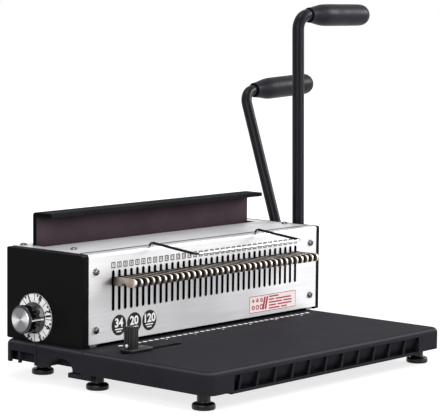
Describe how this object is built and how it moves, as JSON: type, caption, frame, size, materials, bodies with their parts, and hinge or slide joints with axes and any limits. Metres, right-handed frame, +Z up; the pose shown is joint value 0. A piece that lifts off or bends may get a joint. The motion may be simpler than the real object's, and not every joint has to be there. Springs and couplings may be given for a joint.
{
  "type": "wire binding machine",
  "caption": "Desk wire binding machine: a hand lever drives a row of selectable punches over a paper tray, and a second lever closes wire spines in a dial-set press.",
  "frame": {"origin": "on the table, below the middle of the overall box at rest", "axes": "+X along the row of punches to the lever side, +Y to the back, +Z up"},
  "size_m": [0.5277, 0.3139, 0.3662],
  "materials": {
    "black_abs": "moulded, fine texture",
    "rubber": "moulded",
    "brushed_panel": "brushed along the length",
    "brushed_sheet": "brushed along the length",
    "zinc_screw": "zinc plated",
    "frame_steel": "milled",
    "blackened_steel": "black oxide",
    "ground_steel": "ground",
    "spring_steel": "drawn wire",
    "bronze": "sintered",
    "tab_steel": "stamped",
    "press_paint": "satin paint",
    "lever_paint": "satin black paint",
    "grip_plastic": "gloss",
    "dial_white": "printed",
    "cap_aluminium": "turned"
  },
  "bodies": {
    "base": {"base_tray": "black_abs", "rubber_feet": "rubber", "foot_screws": "zinc_screw", "left_side_frame": "frame_steel", "right_side_frame": "frame_steel", "frame_bolts": "zinc_screw", "cross_bolts": "zinc_screw", "front_panel": "brushed_panel", "panel_screws": "zinc_screw", "top_cover": "brushed_sheet", "top_screws": "zinc_screw", "rear_cover": "brushed_sheet", "rear_screws": "zinc_screw", "left_end_cover": "black_abs", "right_end_cover": "black_abs", "die_plate": "ground_steel", "die_screws": "zinc_screw", "paper_stop": "ground_steel", "punch_guide": "blackened_steel", "ram_springs": "spring_steel", "punch_bushes": "bronze", "closing_bushes": "bronze", "press_guides": "black_abs", "press_springs": "spring_steel", "spring_pins": "ground_steel", "spindle_bush": "bronze", "dial_plate": "dial_white", "bail_sockets": "black_abs"},
    "drawer": {"chip_drawer": "black_abs", "drawer_front": "black_abs"},
    "punch_drive": {"punch_shaft": "ground_steel", "punch_pinions": "blackened_steel", "punch_lever": "lever_paint", "punch_lever_screw": "zinc_screw", "punch_grip": "grip_plastic"},
    "ram": {"punch_ram": "blackened_steel", "ram_racks": "blackened_steel", "punch_pins": "ground_steel"},
    "tabs": {"selector_tabs": "tab_steel"},
    "closing_drive": {"closing_shaft": "ground_steel", "closing_pinions": "blackened_steel", "closing_lever": "lever_paint", "closing_lever_screw": "zinc_screw", "closing_grip": "grip_plastic", "stop_arm": "frame_steel"},
    "press": {"press_plate": "press_paint", "press_rack_plates": "blackened_steel", "press_bolts": "zinc_screw", "press_spring_pins": "ground_steel"},
    "dial": {"dial_spindle": "ground_steel", "stop_cam": "frame_steel", "dial_knob": "grip_plastic", "knob_cap": "cap_aluminium"},
    "bail": {"wire_bail": "lever_paint"},
    "guide": {"edge_guide": "black_abs", "guide_clamp": "black_abs"}
  },
  "joints": [
    {"name": "punch_lever_turn", "type": "hinge", "parent": "base", "child": "punch_drive", "pos_m": [-0.06193, 0.04982, 0.085], "axis": [1, 0, 0], "range_deg": [0, 85]},
    {"name": "ram_slide", "type": "slide", "parent": "base", "child": "ram", "axis": [0, 0, -1], "range_m": [0, 0.0208], "stiffness_N_per_m": 1500, "springref_m": -0.03, "deforming": ["ram_springs"]},
    {"name": "tab_pull", "type": "slide", "parent": "ram", "child": "tabs", "axis": [0, -1, 0], "range_m": [0, 0.006]},
    {"name": "closing_lever_turn", "type": "hinge", "parent": "base", "child": "closing_drive", "pos_m": [-0.06193, 0.08142, 0.085], "axis": [1, 0, 0], "range_deg": [0, 90]},
    {"name": "press_slide", "type": "slide", "parent": "base", "child": "press", "axis": [0, 0, -1], "range_m": [0, 0.022], "stiffness_N_per_m": 1000, "springref_m": -0.03, "deforming": ["press_springs"]},
    {"name": "dial_turn", "type": "hinge", "parent": "base", "child": "dial", "pos_m": [-0.06193, 0.07622, 0.061], "axis": [-1, 0, 0], "range_deg": [-135, 135]},
    {"name": "drawer_slide", "type": "slide", "parent": "base", "child": "drawer", "axis": [-1, 0, 0], "range_m": [0, 0.25]},
    {"name": "bail_lift", "type": "slide", "parent": "base", "child": "bail", "axis": [0, 0, 1], "range_m": [0, 0.025]},
    {"name": "guide_slide", "type": "slide", "parent": "base", "child": "guide", "axis": [1, 0, 0], "range_m": [-0.012, 0.055]}
  ],
  "couplings": [
    {"joint": "ram_slide", "follows": "punch_lever_turn", "m_per_rad": 0.014},
    {"joint": "press_slide", "follows": "closing_lever_turn", "m_per_rad": 0.014}
  ]
}
